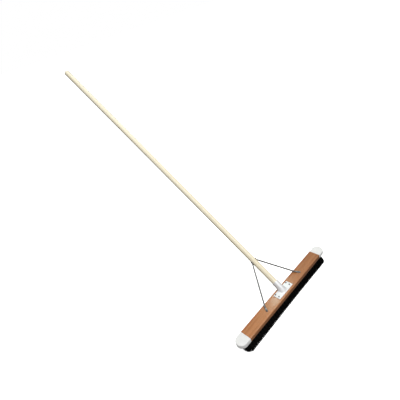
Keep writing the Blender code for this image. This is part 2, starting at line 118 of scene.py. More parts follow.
def solid(name, bm, matrix=None):
    """The object for a closed bmesh, placed by a matrix."""
    bmesh.ops.recalc_face_normals(bm, faces=bm.faces)
    mesh = bpy.data.meshes.new(name)
    bm.to_mesh(mesh)
    bm.free()
    if matrix is not None:
        mesh.transform(matrix)
    return add_object(name, mesh)


def skin(rings):
    """A closed bmesh over rings that all have the same number of points."""
    bm = bmesh.new()
    loops = [[bm.verts.new(point) for point in ring] for ring in rings]
    for low, high in zip(loops, loops[1:]):
        for i in range(len(low)):
            j = (i + 1) % len(low)
            bm.faces.new((low[i], low[j], high[j], high[i]))
    bm.faces.new(list(reversed(loops[0])))
    bm.faces.new(loops[-1])
    return bm


def circle(radius, height, sides, x=0.0, y=0.0):
    angles = (2 * math.pi * i / sides for i in range(sides))
    return [Vector((x + radius * math.cos(a), y + radius * math.sin(a), height)) for a in angles]


def turned(profile, sides=SCREW_SIDES):
    """A body turned about Z from (radius, height) points, none of them on the axis."""
    return skin([circle(radius, height, sides) for radius, height in profile])


def quarter(radius, steps, start=0.0):
    """(inset, rise) along a quarter round that starts upright and ends level."""
    for i in range(steps + 1):
        a = math.radians(90 * i / steps)
        yield start + radius * (1 - math.cos(a)), radius * math.sin(a)


def bake(part):
    """Makes the modifiers' result the part's own mesh."""
    bpy.context.view_layer.update()
    evaluated = part.evaluated_get(bpy.context.evaluated_depsgraph_get())
    mesh = bpy.data.meshes.new_from_object(evaluated)
    part.modifiers.clear()
    part.data = mesh
    return part


def combine(part, *others, operation="DIFFERENCE"):
    for other in others:
        step = part.modifiers.new("step", "BOOLEAN")
        step.operation = operation
        step.object = other
        step.solver = "EXACT"
    bake(part)
    for other in others:
        bpy.data.objects.remove(other)
    return part


def finish_piece(part, look, slot, *nodes, sharp=35):
    """Shades a piece, gives it its material and fastens it to the body in its nodes' stead."""
    part.data.materials.clear()
    part.data.materials.append(look)
    part.data.shade_smooth()
    part.data.set_sharp_from_angle(angle=math.radians(sharp))
    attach(part, BODY)
    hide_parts(*nodes)
    return part


# Materials.


def set_range(node, low, high, to_low, to_high):
    """Sets the range that a Map Range node reads and the one that it gives."""
    ends = {"From Min": low, "From Max": high, "To Min": to_low, "To Max": to_high}
    for key, number in ends.items():
        node.inputs[key].default_value = number


class Look:
    """A material that is put together node by node."""

    def __init__(self, name):
        self.material = bpy.data.materials.new(name)
        self.material.use_nodes = True
        self.tree = self.material.node_tree
        self.shader = self.tree.nodes["Principled BSDF"]
        self.place = self.add("ShaderNodeTexCoord").outputs["Object"]

    def add(self, kind, settings=None, **inputs):
        """A new node, with its settings and its inputs."""
        made = self.tree.nodes.new(kind)
        for key, value in (settings or {}).items():
            setattr(made, key, value)
        for key, value in inputs.items():
            self.feed(made.inputs[key], value)
        return made

    def feed(self, socket, value):
        if isinstance(value, bpy.types.NodeSocket):
            self.tree.links.new(value, socket)
        else:
            socket.default_value = value

    def finish(self, **inputs):
        """Sets the shader's inputs, named with _ for each space, and returns the material."""
        for key, value in inputs.items():
            self.feed(self.shader.inputs[key.replace("_", " ")], value)
        return self.material

    def stretched(self, scale, turn=(0, 0, 0)):
        """The place, turned and then scaled, for a pattern that is longer one way."""
        turned_place = self.add("ShaderNodeMapping", Vector=self.place, Rotation=turn)
        return self.add(
            "ShaderNodeMapping", Vector=turned_place.outputs[0], Scale=scale
        ).outputs[0]

    def noise(self, vector, scale=1.0, detail=3.0, rough=0.5, distortion=0.0):
        made = self.add("ShaderNodeTexNoise", Vector=vector, Scale=scale, Detail=detail)
        made.inputs["Roughness"].default_value = rough
        made.inputs["Distortion"].default_value = distortion
        return made.outputs["Fac"]

    def ramp(self, value, *stops):
        made = self.add("ShaderNodeValToRGB", Fac=value)
        elements = made.color_ramp.elements
        while len(elements) < len(stops):
            elements.new(0.5)
        for element, (position, colour) in zip(elements, stops):
            element.position = position
            element.color = (*colour, 1.0)
        return made.outputs["Color"]

    def grey(self, value, low, dark, high, light):
        """The value between low and high as a number from dark to light."""
        made = self.add("ShaderNodeMapRange", Value=value)
        set_range(made, low, high, dark, light)
        return made.outputs[0]

    def times(self, colour, factor):
        made = self.add("ShaderNodeVectorMath", {"operation": "SCALE"})
        self.feed(made.inputs[0], colour)
        self.feed(made.inputs["Scale"], factor)
        return made.outputs[0]

    def product(self, a, b):
        made = self.add("ShaderNodeMath", {"operation": "MULTIPLY"})
        self.feed(made.inputs[0], a)
        self.feed(made.inputs[1], b)
        return made.outputs[0]

    def bump(self, height, distance, strength=1.0, normal=None):
        made = self.add("ShaderNodeBump", Height=height, Distance=distance, Strength=strength)
        if normal is not None:
            self.feed(made.inputs["Normal"], normal)
        return made.outputs[0]


def wood(name, turn, grain, colours, depth, gloss, coat, painted_shade_at_far_end=1.0):
    """Wood with its grain along X once the place is turned. Grain is the streaks' (length, width).

    Depth is how dark the streaks and the pores are; the last argument is painted shade, the colour
    darkening towards the +X end for less light there.
    """
    look = Look(name)
    length, width = grain
    band_place = look.stretched((1 / length, 1 / width, 1 / width), turn)
    fine_place = look.stretched((8 / length, 12 / width, 12 / width), turn)
    pore_place = look.stretched((30 / length, 30 / width, 30 / width), turn)
    bands = look.noise(band_place, detail=4, distortion=0.6)
    fine = look.noise(fine_place, detail=3, rough=0.6)
    pores = look.noise(pore_place, detail=2)
    colour = look.ramp(bands, *zip((0.30, 0.48, 0.70), colours))
    streaks = look.grey(fine, 0.3, 1 - 0.16 * depth, 0.7, 1 + 0.10 * depth)
    pits = look.grey(pores, 0.34, 1 - 0.28 * depth, 0.44, 1.0)
    x = look.add("ShaderNodeSeparateXYZ", Vector=look.place).outputs["X"]
    # painted shade: the colour darkens from the middle of the stock to its +X end, standing in for
    # less light there
    painted_shade_along_x = look.grey(x, 0.0, 1.0, HALF_LENGTH, painted_shade_at_far_end)
    shade = look.product(look.product(streaks, pits), painted_shade_along_x)
    normal = look.bump(pits, 0.00008, 0.5, look.bump(fine, 0.00006, 0.6))
    rough = look.grey(bands, 0.3, gloss + 0.06, 0.7, gloss - 0.04)
    look.finish(Base_Color=look.times(colour, shade), Roughness=rough, Normal=normal)
    look.finish(Coat_Weight=coat, Coat_Roughness=0.16, Coat_IOR=1.5)
    return look.material


def varnished_wood():
    colours = (0.36, 0.124, 0.034), (0.44, 0.168, 0.050), (0.51, 0.215, 0.074)
    # the last number is the painted shade at the stock's +X end
    return wood("varnished_wood", (0, 0, 0), (0.26, 0.012), colours, 1.0, 0.38, 0.6, 0.77)


def bare_wood():
    tilt = math.atan2(AXIS.z, AXIS.y)
    colours = (0.85, 0.76, 0.55), (0.90, 0.82, 0.62), (0.94, 0.88, 0.70)
    turn = (-tilt, 0, math.radians(-90))
    return wood("bare_wood", turn, (0.40, 0.009), colours, 0.45, 0.58, 0.05)


PAINTED_GLOW = 0.22  # painted light: a glow that lightens the buffers' shaded sides, standing in for light through their thin white walls


def white_plastic():
    look = Look("white_plastic")
    mottle = look.noise(look.place, 60, 3)
    skin_grain = look.noise(look.place, 2600, 2)
    colour = look.ramp(mottle, (0.3, (0.54, 0.545, 0.53)), (0.7, (0.60, 0.60, 0.585)))
    rough = look.grey(look.noise(look.place, 240, 4), 0.3, 0.34, 0.7, 0.50)
    normal = look.bump(skin_grain, 0.00004, 0.5, look.bump(mottle, 0.0004, 0.3))
    # painted light: the plastic glows a little so that its shaded sides stay light
    look.finish(Emission_Color=(1, 1, 0.98, 1), Emission_Strength=PAINTED_GLOW)
    return look.finish(Base_Color=colour, Roughness=rough, Normal=normal)


def black_bristle():
    look = Look("black_bristle")
    along = look.stretched((500, 500, 25))
    tone = look.noise(along, 1.0, 2)
    colour = look.ramp(tone, (0.35, (0.002, 0.002, 0.0018)), (0.7, (0.007, 0.0068, 0.006)))
    rough = look.grey(tone, 0.3, 0.42, 0.7, 0.6)
    return look.finish(Base_Color=colour, Roughness=rough, Specular_IOR_Level=0.25)


def cast_aluminium():
    look = Look("cast_aluminium")
    sand = look.noise(look.place, 1500, 3)
    patches = look.noise(look.place, 90, 4)
    colour = look.ramp(patches, (0.3, (0.88, 0.885, 0.89)), (0.7, (0.96, 0.96, 0.96)))
    rough = look.grey(sand, 0.3, 0.40, 0.7, 0.56)
    normal = look.bump(sand, 0.00007, 0.7, look.bump(patches, 0.0005, 0.35))
    return look.finish(Base_Color=colour, Roughness=rough, Metallic=0.5, Normal=normal)


def zinc_steel():
    look = Look("zinc_steel")
    spangle = look.noise(look.place, 350, 4)
    colour = look.ramp(spangle, (0.3, (0.17, 0.17, 0.165)), (0.7, (0.23, 0.23, 0.22)))
    rough = look.grey(spangle, 0.3, 0.42, 0.7, 0.54)
    normal = look.bump(look.noise(look.place, 1800, 2), 0.00003, 0.4)
    return look.finish(Base_Color=colour, Roughness=rough, Metallic=0.8, Normal=normal)


VARNISHED = varnished_wood()
BARE = bare_wood()
PLASTIC = white_plastic()
BRISTLE = black_bristle()
ALUMINIUM = cast_aluminium()
ZINC = zinc_steel()

# The stock and its buffers.


def arc(centre_x, radius, start, end, steps=48):
    angles = (math.radians(start + (end - start) * i / steps) for i in range(steps + 1))
    return [(centre_x + radius * math.cos(a), radius * math.sin(a)) for a in angles]


def oval(inset, height):
    """An outline of the whole head, both ends half round."""
    radius = HALF_WIDTH - inset
    outline = arc(END_CENTRE, radius, -90, 90) + arc(-END_CENTRE, radius, 90, 270)
    return [Vector((x, y, height)) for x, y in outline]


def core(grow, bottom):
    """The stock's full-length core, whose two ends are the tongues in the buffers."""
    side, top = BUFFER_WALL + GAP - grow, TOP - BUFFER_WALL - GAP + grow
    rings = [oval(side, bottom)]
    for inset, rise in quarter(TONGUE_SHOULDER, TONGUE_STEPS, side):
        rings.append(oval(inset, top - TONGUE_SHOULDER + rise))
    return skin(rings)


PEG_FOOT = 0.005  # how far above the stock's bottom the pegs' points are looked for
PEG_SPACE = 0.005  # more than this between two points means another peg


def tuft_places(node):
    """The centres of a row's tufts, from the pegs that its CAD solid has in the stock."""
    points = [v.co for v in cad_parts[node].data.vertices if v.co.z > BOTTOM + PEG_FOOT]
    across = sorted(p.x for p in points)
    groups = [[across[0]]]
    for x in across[1:]:
        if x - groups[-1][-1] > PEG_SPACE:
            groups.append([])
        groups[-1].append(x)
    y = (min(p.y for p in points) + max(p.y for p in points)) / 2
    return [((group[0] + group[-1]) / 2, y) for group in groups]


ROWS = [f"bristle_row_{i}" for i in range(1, 6)]
TUFTS = {row: tuft_places(row) for row in ROWS}
LONGEST_REACH = max(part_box(row)[1].x for row in ROWS)
TUFT_RADIUS = 0.003
HOLE_DEPTH = 0.0075
HOLE_SIDES = 16
OPENING = 0.01  # how far a bore's cutter stands out of the part
CAVITY_OPENING = 0.002  # how far a buffer's cutter stands out below it


def hole(radius, low, high, matrix):
    bm = skin([circle(radius, low, SCREW_SIDES), circle(radius, high, SCREW_SIDES)])
    return solid("hole", bm, matrix)


def tuft_holes():
    """A cutter for every tuft's blind hole."""
    bm = bmesh.new()
    for x, y in (place for row in ROWS for place in TUFTS[row]):
        bmesh.ops.create_cone(
            bm,
            cap_ends=True,
            segments=HOLE_SIDES,
            radius1=TUFT_RADIUS + GAP,
            radius2=TUFT_RADIUS + GAP,
            depth=2 * HOLE_DEPTH,
            matrix=Matrix.Translation((x, y, BOTTOM)),
        )
    return solid("tuft_holes", bm)


def stock_section(x, inset):
    """An upright section of the stock: both top edges well rounded, the bottom ones only eased."""
    half = []
    for side_inset, rise in quarter(STOCK_EASE, 4):
        half.append((HALF_WIDTH - side_inset, BOTTOM + STOCK_EASE - rise))
    half.reverse()
    for side_inset, rise in quarter(SHOULDER, SHOULDER_STEPS):
        half.append((HALF_WIDTH - side_inset, TOP - SHOULDER + rise))
    full = half + [(-y, z) for y, z in reversed(half)]
    centre_z = (TOP + BOTTOM) / 2
    shrink_y = 1 - inset / HALF_WIDTH
    shrink_z = 1 - inset / (TOP - centre_z)
    return [Vector((x, y * shrink_y, centre_z + (z - centre_z) * shrink_z)) for y, z in full]


def screw_line(node, way):
    """The matrix that puts a screw modelled along Z, head up, where its CAD node is."""
    points = [v.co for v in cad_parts[node].data.vertices]
    mean = sum(points, Vector()) / len(points)
    crown = max(point.dot(way) for point in points)
    place = mean + way * (crown - mean.dot(way))
    return Matrix.Translation(place) @ UP.rotation_difference(way).to_matrix().to_4x4()


def build_stock(cutters):
    rings = [
        stock_section(-HALF_LENGTH, STOCK_END_EASE),
        stock_section(-HALF_LENGTH + STOCK_END_EASE, 0),
        stock_section(HALF_LENGTH - STOCK_END_EASE, 0),
        stock_section(HALF_LENGTH, STOCK_END_EASE),
    ]
    stock = solid("stock_wood", skin(rings))
    combine(stock, solid("core", core(0.0, BOTTOM)), operation="UNION")
    combine(stock, tuft_holes(), *cutters)
    return finish_piece(stock, VARNISHED, "varnished_wood", "stock", sharp=30)


def buffer_outline(side, inset, height):
    face = HALF_LENGTH + GAP
    points = [(face, inset - HALF_WIDTH)] + arc(END_CENTRE, HALF_WIDTH - inset, -90, 90)
    points.append((face, HALF_WIDTH - inset))
    return [Vector((side * x, y, height)) for x, y in points]


def build_buffer(name, side, cutter):
    """A moulded end cap: open below and towards the stock, with a rounded rim."""
    rings = []
    for inset, rise in quarter(BUFFER_RIM, 4):
        rings.append(buffer_outline(side, inset, BOTTOM + BUFFER_RIM - rise))
    rings.reverse()
    for inset, rise in quarter(SHOULDER, SHOULDER_STEPS):
        rings.append(buffer_outline(side, inset, TOP - SHOULDER + rise))
    cap = solid(name + "_cap", skin(rings))
    combine(cap, solid("cavity", core(GAP, BOTTOM - CAVITY_OPENING)), cutter)
    return finish_piece(cap, PLASTIC, "white_plastic", name)


# Fasteners. Each is modelled along Z with its head up and its crown at the origin.

SHANK = 0.0020  # radius over the threads
NECK = 0.80  # of that radius, between the head and the threads and between the ridges
PITCH = 0.0009
POINT_LENGTH = 0.0022
NECK_LENGTH = 0.0015
CROSS_ARM, CROSS_SLOT = 0.0019, 0.00042  # half length and half width of a slot
CROSS_DEPTH = 0.0014
CROSS_STEP = 0.00004  # between the floors of the two slots, which keeps them separate faces
SMALL_PAN, LARGE_PAN = (0.0027, 0.0017), (0.0034, 0.0021)  # radius and height of pan heads
FLAT_RADIUS, FLAT_CROWN, FLAT_CONE = 0.0036, 0.0008, 0.0017  # of countersunk heads
SEAT_SPREAD, SEAT_CLEARANCE = 0.003, 0.0001  # of a seat's cutter, above the head and round it


def cross_cutter(depth, matrix):
    """Two crossed, tapering slots from just above the crown down to a depth."""
    cutters = []
    for i, turn in enumerate((0, 90)):
        rings = []
        for height, arm, slot in (
            (-depth + CROSS_STEP * i, CROSS_ARM * 0.55, CROSS_SLOT * 0.6),
            (0.001, CROSS_ARM * 1.15, CROSS_SLOT * 1.15),
        ):
            corners = ((-arm, -slot), (arm, -slot), (arm, slot), (-arm, slot))
            rings.append([Vector((x, y, height)) for x, y in corners])
        spin = Matrix.Rotation(math.radians(turn), 4, "Z")
        cutters.append(solid("slot", skin(rings), matrix @ spin))
    return cutters


def dome(radius, height, steps=8, first=8):
    """A low domed head's profile, from near its crown, at the first angle, to its rim."""
    for i in range(steps + 1):
        a = math.radians(first + (90 - first) * i / steps)
        yield radius * math.sin(a), height * (math.cos(a) - 1)


def threads(top, bottom):
    """The profile of a thread's ridges between two heights, going down."""
    for i in range(int((top - bottom) / PITCH)):
        at = top - i * PITCH
        yield SHANK * NECK, at
        yield SHANK, at - PITCH * 0.5


def node_length(node, way):
    spread = [v.co.dot(way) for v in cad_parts[node].data.vertices]
    return max(spread) - min(spread)


def screw(node, way, head, head_depth):
    """A wood screw: its head's profile, then a plain neck, a ridged shank and a point."""
    length = node_length(node, way)
    neck_end, point_start = head_depth - NECK_LENGTH, POINT_LENGTH - length
    profile = list(head) + [(SHANK * NECK, head_depth), (SHANK * NECK, neck_end)]
    profile += list(threads(neck_end, point_start))
    profile += [(SHANK * 0.75, point_start), (SHANK * 0.1, -length)]
    matrix = screw_line(node, way)
    made = solid(node + "_fine", turned(profile), matrix)
    combine(made, *cross_cutter(CROSS_DEPTH, matrix))
    return finish_piece(made, ZINC, "zinc_steel", node, sharp=40)


def pan_screw(node, way, radius, height):
    head = list(dome(radius, height)) + [(radius * 0.98, -height)]
    return screw(node, way, head, -height)


def countersunk_screw(node):
    depth = FLAT_CROWN + FLAT_CONE
    head = list(dome(FLAT_RADIUS, FLAT_CROWN)) + [(SHANK, -depth)]
    return screw(node, UP, head, -depth)


def countersink(node):
    """A cutter for a countersunk head's seat, open above the head's rim."""
    profile = [
        (FLAT_RADIUS + SEAT_CLEARANCE + SEAT_SPREAD, SEAT_SPREAD),
        (FLAT_RADIUS + SEAT_CLEARANCE, 0.0),
        (SHANK + GAP, -FLAT_CONE),
    ]
    rim = screw_line(node, UP) @ Matrix.Translation((0, 0, -FLAT_CROWN))
    return solid("seat", turned(profile), rim)


def screw_hole(node, way):
    """A cutter for a screw's hole: a straight bore from above its crown to past its tip."""
    length = node_length(node, way)
    return hole(SHANK + GAP, -length - GAP, OPENING, screw_line(node, way))


# Bracket and handle.

PLATE_CORNER = 0.003
PLATE_THICKNESS = 0.0035
PLATE_BACK_Y = 0.0157  # of its back edge, which the socket overhangs
MELT_VOXEL = 0.00045  # of the remesh that melts the plate and the socket together
SOCKET_RADIUS = 0.0148
FLARE_ALONG = 0.034  # along the handle's axis, where the round tube ends and the flare begins
FLARE_HALF_LENGTH = 0.023
FLARE_FRONT_Y, FLARE_BACK_Y = -0.0165, 0.0185
FLARE_HEIGHT = 0.004  # above the stock, of the corner that the flare's curve rounds off


def on_socket(along, around, radius=SOCKET_RADIUS):
    local = Vector((radius * math.cos(around), -radius * math.sin(around), along))
    return ON_HANDLE @ local


def socket_rings(foot_z, rim, sides=96, steps=14):
    """Sections of the socket, from its foot on the plate, through the flare, to its rim."""
    angles = [2 * math.pi * i / sides for i in range(sides)]
    middle_y, half_depth = (FLARE_FRONT_Y + FLARE_BACK_Y) / 2, (FLARE_BACK_Y - FLARE_FRONT_Y) / 2
    rings = []
    for step in range(steps + 1):
        share = step / steps
        left = 1 - share
        ring = []
        for a in angles:
            foot_x = FLARE_HALF_LENGTH * math.cos(a)
            foot = Vector((foot_x, middle_y - half_depth * math.sin(a), foot_z))
            rise = FLARE_HEIGHT - SOCKET_RADIUS * math.sin(a) * AXIS.y
            corner = on_socket(rise / AXIS.z, a)
            tube = on_socket(FLARE_ALONG, a)
            ring.append(left * left * foot + 2 * left * share * corner + share * share * tube)
        rings.append(ring)
    rings.append([on_socket(rim, a) for a in angles])
    return rings


def plate_rings(low_z, high_z, half_x, low_y, high_y, steps=8):
    """The plate's outline with its four corners rounded, at its bottom and its top."""
    rings = []
    for z in (low_z, high_z):
        ring = []
        for i, (sx, sy) in enumerate(((1, 1), (-1, 1), (-1, -1), (1, -1))):
            corner_x = sx * (half_x - PLATE_CORNER)
            corner_y = (high_y - PLATE_CORNER) if sy > 0 else (low_y + PLATE_CORNER)
            for step in range(steps + 1):
                a = math.radians(90 * i + 90 * step / steps)
                x, y = corner_x + PLATE_CORNER * math.cos(a), corner_y + PLATE_CORNER * math.sin(a)
                ring.append(Vector((x, y, z)))
        rings.append(ring)
    return rings


def build_bracket(screws):
    """The plate and the socket, melted together so that every corner has a cast fillet."""
    low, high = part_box("handle_bracket")
    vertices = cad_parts["handle_bracket"].data.vertices
    rim = max((v.co - Vector((0, 0, TOP))).dot(AXIS) for v in vertices)
    plate = plate_rings(low.z, low.z + PLATE_THICKNESS, high.x, low.y, PLATE_BACK_Y)
    bracket = solid("bracket_casting", skin(plate))
    combine(bracket, solid("socket", skin(socket_rings(low.z, rim))), operation="UNION")
    melt = bracket.modifiers.new("melt", "REMESH")
    melt.mode = "VOXEL"
    melt.voxel_size = MELT_VOXEL
    soften = bracket.modifiers.new("soften", "SMOOTH")
    soften.factor = 0.5
    soften.iterations = 8
    bake(bracket)
    cutters = [hole(HANDLE_RADIUS + GAP, HANDLE_START - GAP, rim + OPENING, ON_HANDLE)]
    for node in screws:
        cutters.append(screw_hole(node, UP))
        cutters.append(countersink(node))
    cutters.append(screw_hole("handle_screw", UNDER))
    combine(bracket, *cutters)
    return finish_piece(bracket, ALUMINIUM, "cast_aluminium", "handle_bracket", sharp=50)


def build_handle(cutters):
    profile = [(HANDLE_RADIUS - FOOT_CHAMFER, HANDLE_START)]
    profile.append((HANDLE_RADIUS, HANDLE_START + FOOT_CHAMFER))
    for inset, rise in quarter(NOSE, 14):
        profile.append((HANDLE_RADIUS - inset, HANDLE_END - NOSE + rise))
    handle = solid("handle_dowel", turned(profile, ROUND_SIDES), ON_HANDLE)
    combine(handle, *cutters)
    return finish_piece(handle, BARE, "bare_wood", "handle")


# Stays.

ROD_RADIUS = 0.0032
TAB = 0.0024  # thickness of the flattened ends
EYE = 0.0046  # half width of the flat about a hole
STAY_BEND = Vector((0.112, 0.012, 0))
TAB_LENGTH = 0.006  # from the upper screw to where the flat turns towards the bend
TAB_TURN, BEND_TURN = 0.003, 0.006  # from these corners to where the rod is straight again
FLAT_UNTIL, ROUND_FROM = 0.006, 0.015  # along the stay, from the hole at either end
TWIST_START, TWIST_END = 0.020, 0.040  # from the upper and the lower hole
PATH_STEP = 0.001
STRAIGHT_START, STRAIGHT_END = 0.024, 0.036  # of the straight part, from the two holes
STRAIGHT_STEPS = 12  # path steps between sections there
END_ANGLES = (12, 25, 40, 55, 70, 84)  # of the sections that round off an end


def bezier(a, b, c, steps):
    for i in range(steps + 1):
        t = i / steps
        yield a * (1 - t) ** 2 + b * 2 * t * (1 - t) + c * t * t


def even_path(points, step):
    """The points of a polyline at even steps, with its two ends kept."""
    lengths = [0.0]
    for a, b in zip(points, points[1:]):
        lengths.append(lengths[-1] + (b - a).length)
    count = round(lengths[-1] / step)
    marks = np.linspace(0, lengths[-1], count + 1)
    axes = [np.interp(marks, lengths, [p[i] for p in points]) for i in range(3)]
    return [Vector(p) for p in zip(*axes)], marks.tolist()


def ease(value, low, high):
    share = min(max((value - low) / (high - low), 0.0), 1.0)
    return share * share * (3 - 2 * share)


def stay_path(foot_hole):
    """The right stay's centre line, from its upper hole to the hole in its foot."""
    rest = TOP + GAP + ROD_RADIUS
    eye = Vector((HANDLE_RADIUS + GAP + TAB / 2, stay_top.y, stay_top.z))
    bend = Vector((STAY_BEND.x, STAY_BEND.y, rest))
    foot = Vector((foot_hole.x, foot_hole.y, rest))
    tab_way = Vector((0, bend.y - eye.y, bend.z - eye.z)).normalized()
    tab_end = eye + tab_way * TAB_LENGTH
    rod_way = (bend - tab_end).normalized()
    foot_way = (foot - bend).normalized()
    points = [eye]
    points += bezier(tab_end - tab_way * TAB_TURN, tab_end, tab_end + rod_way * TAB_TURN, 8)
    points += bezier(bend - rod_way * BEND_TURN, bend, bend + foot_way * BEND_TURN, 12)
    points.append(foot)
    return even_path(points, PATH_STEP)


def stay_section(centre, along, thick_way, half_width, half_thick, flat, sides=28):
    """An oval section that gets squarer as flat goes from 0 to 1."""
    thick = (thick_way - along * thick_way.dot(along)).normalized()
    wide = along.cross(thick)
    power = 1 - 0.55 * flat
    ring = []
    for i in range(sides):
        a = 2 * math.pi * i / sides
        across = math.copysign(abs(math.cos(a)) ** power, math.cos(a))
        up = math.copysign(abs(math.sin(a)) ** power, math.sin(a))
        ring.append(centre + half_width * across * wide + half_thick * up * thick)
    return ring


def end_sections(hole_centre, way, thick_way, angles):
    """The flat sections of an end that is round about its hole."""
    for angle in angles:
        a = math.radians(angle)
        centre = hole_centre + way * EYE * math.sin(a)
        yield stay_section(centre, way, thick_way, EYE * math.cos(a), TAB / 2, 1.0)


def stay_rings(foot_hole):
    """Sections of the right stay: flat about its holes, round between them."""
    path, marks = stay_path(foot_hole)
    total, last = marks[-1], len(path) - 1
    first_angles = [-angle for angle in reversed(END_ANGLES)]
    rings = list(end_sections(path[0], (path[1] - path[0]).normalized(), X_WAY, first_angles))
    for i, (point, mark) in enumerate(zip(path, marks)):
        left = total - mark
        if STRAIGHT_START < mark < total - STRAIGHT_END and i % STRAIGHT_STEPS:
            continue
        way = (path[min(i + 1, last)] - path[max(i - 1, 0)]).normalized()
        flat = 1 - ease(min(mark, left), FLAT_UNTIL, ROUND_FROM)
        half_width = ROD_RADIUS + (EYE - ROD_RADIUS) * flat**0.8
        half_thick = ROD_RADIUS + (TAB / 2 - ROD_RADIUS) * flat
        thick_way = X_WAY.lerp(UP, ease(mark, TWIST_START, total - TWIST_END))
        drop = ROD_RADIUS - half_thick if left < total / 2 else 0
        rings.append(stay_section(point - UP * drop, way, thick_way, half_width, half_thick, flat))
    sole = path[-1] - UP * (ROD_RADIUS - TAB / 2)
    rings += end_sections(sole, (path[-1] - path[-2]).normalized(), UP, END_ANGLES)
    return rings


def build_stay(name, side):
    mirror = Matrix.Diagonal((side, 1, 1, 1))
    rings = stay_rings(middle("stay_foot_screw_right"))
    stay = solid("stay_" + name + "_rod", skin(rings), mirror)
    top_hole = screw_hole("stay_top_screw_" + name, side * X_WAY)
    combine(stay, top_hole, screw_hole("stay_foot_screw_" + name, UP))
    return finish_piece(stay, ZINC, "zinc_steel", "stay_" + name, sharp=40)


# Bristles.

FILAMENTS_ALONG, FILAMENTS_ACROSS = 20, 11  # in a tuft
FILAMENT_RADIUS = 0.00038
FILAMENT_TIP = 0.85  # of its radius
FILAMENT_RINGS = 4
FILAMENT_SIDES = 3
TIP_SCATTER, BOW_SCATTER = 0.0004, 0.0005  # standard deviations
TUFT_HALF_SPREAD = (0.0088, 0.0074)  # of a tuft's tips on the floor
SPLAY = 0.0035  # how far the outer tips may reach beyond the CAD model's
LEAN = 0.0095  # of the tips towards +X, the set that the bristle has taken
UNEVEN = 0.0012  # how far above the floor the shortest tips end
ROOT_DEPTH = 0.003  # of the modelled part of a filament inside its hole
END_INSET, END_CURVE = 0.003, 0.018  # from the CAD model's reach to the ends' outline in plan
WIDER_AT_ENDS = 0.10  # how much wider, as a share, the block of tips is at its two ends
FLARE_POWER = 6  # how soon the tips' outward flare dies away from the ends
SPREAD_POWER, LEAN_POWER = 1.1, 0.7  # shapes of a filament's curve, from its root to its tip
WAVE, WAVE_DRIFT = 55, 23  # radians a metre, of the tips' uneven height along a row


def tuft_pattern(draw, tufts):
    """For every filament of a row, its place in its tuft as two numbers from -1 to 1."""
    along = (np.arange(FILAMENTS_ALONG) + 0.5) / FILAMENTS_ALONG * 2 - 1
    across = (np.arange(FILAMENTS_ACROSS) + 0.5) / FILAMENTS_ACROSS * 2 - 1
    grid = np.stack(np.meshgrid(along, across), -1).reshape(-1, 2)
    pattern = np.tile(grid, (tufts, 1))
    jitter = np.array((1 / FILAMENTS_ALONG, 1 / FILAMENTS_ACROSS))
    return np.clip(pattern + draw.uniform(-1, 1, pattern.shape) * jitter, -1, 1)


def tip_places(draw, row, centres, square):
    """X and Y of every tip before it leans, from its tuft's centre and its place in the tuft."""
    floor_y = [v.co.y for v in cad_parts[row].data.vertices if v.co.z < 0.001]
    tip_y = (min(floor_y) + max(floor_y)) / 2
    last = centres[:, 0].max()
    outward = centres[:, 0] / last
    spread = square * np.array(TUFT_HALF_SPREAD)
    tip = centres + spread + draw.normal(0, TIP_SCATTER, centres.shape)
    tip[:, 1] = (tip[:, 1] - centres[:, 1] + tip_y) * (1 + WIDER_AT_ENDS * outward**2)
    edge = -cad_box[0].y + SPLAY
    tip[:, 1] = np.clip(tip[:, 1], -edge, edge)
    reach = LONGEST_REACH - END_INSET - END_CURVE * np.abs(tip[:, 1] / edge) ** 3
    flare = reach - last - TUFT_HALF_SPREAD[0]
    tip[:, 0] += flare * np.sign(outward) * np.abs(outward) ** FLARE_POWER
    return tip


def filament_paths(row, seed):
    """Points along every filament of a row, as an array of filament, ring and X Y Z."""
    draw = np.random.RandomState(seed)
    tufts = np.array(TUFTS[row])
    square = tuft_pattern(draw, len(tufts))
    count = len(square)
    centres = np.repeat(tufts, count // len(tufts), axis=0)
    disc = square * np.sqrt(1 - square[:, ::-1] ** 2 / 2)
    root = centres + disc * (TUFT_RADIUS - FILAMENT_RADIUS)
    tip = tip_places(draw, row, centres, square)
    wave = 0.5 + 0.5 * np.sin(tip[:, 0] * WAVE + np.sin(tip[:, 0] * WAVE_DRIFT) * 2)
    height = UNEVEN * (0.5 * wave + 0.5 * draw.uniform(0, 1, count) ** 2)
    bow = draw.normal(0, BOW_SCATTER, (count, 2))
    paths = np.zeros((count, FILAMENT_RINGS, 3))
    for i, t in enumerate(np.linspace(0, 1, FILAMENT_RINGS)):
        paths[:, i, :2] = root + (tip - root) * t**SPREAD_POWER + bow * math.sin(math.pi * t)
        paths[:, i, 0] += LEAN * t**LEAN_POWER
        paths[:, i, 2] = (BOTTOM + ROOT_DEPTH) * (1 - t) + height * t
    return paths


def build_row(row, seed):
    """A row of bristle, with every filament a thin closed rod."""
    paths = filament_paths(row, seed)
    count, rings, sides = len(paths), FILAMENT_RINGS, FILAMENT_SIDES
    taper = np.linspace(1.0, FILAMENT_TIP, rings) * FILAMENT_RADIUS
    angles = np.arange(sides) * 2 * math.pi / sides
    circle_xy = np.stack([np.cos(angles), np.sin(angles), np.zeros(sides)], 1)
    points = paths[:, :, None, :] + taper[None, :, None, None] * circle_xy[None, None]
    index = np.arange(count * rings * sides).reshape(count, rings, sides)
    following = np.roll(index, -1, axis=2)
    walls = np.stack(
        [index[:, :-1], index[:, 1:], following[:, 1:], following[:, :-1]], axis=-1
    ).reshape(-1, 4)
    faces = walls.tolist() + index[:, 0].tolist() + index[:, -1, ::-1].tolist()
    mesh = bpy.data.meshes.new(row + "_filaments")
    mesh.from_pydata(points.reshape(-1, 3).tolist(), [], faces)
    made = add_object(row + "_filaments", mesh)
    return finish_piece(made, BRISTLE, "black_bristle", row, sharp=80)


# The assembly.

BRACKET_SCREWS = [
    f"bracket_screw_{end}_{side}" for end in ("front", "back") for side in ("left", "right")
]


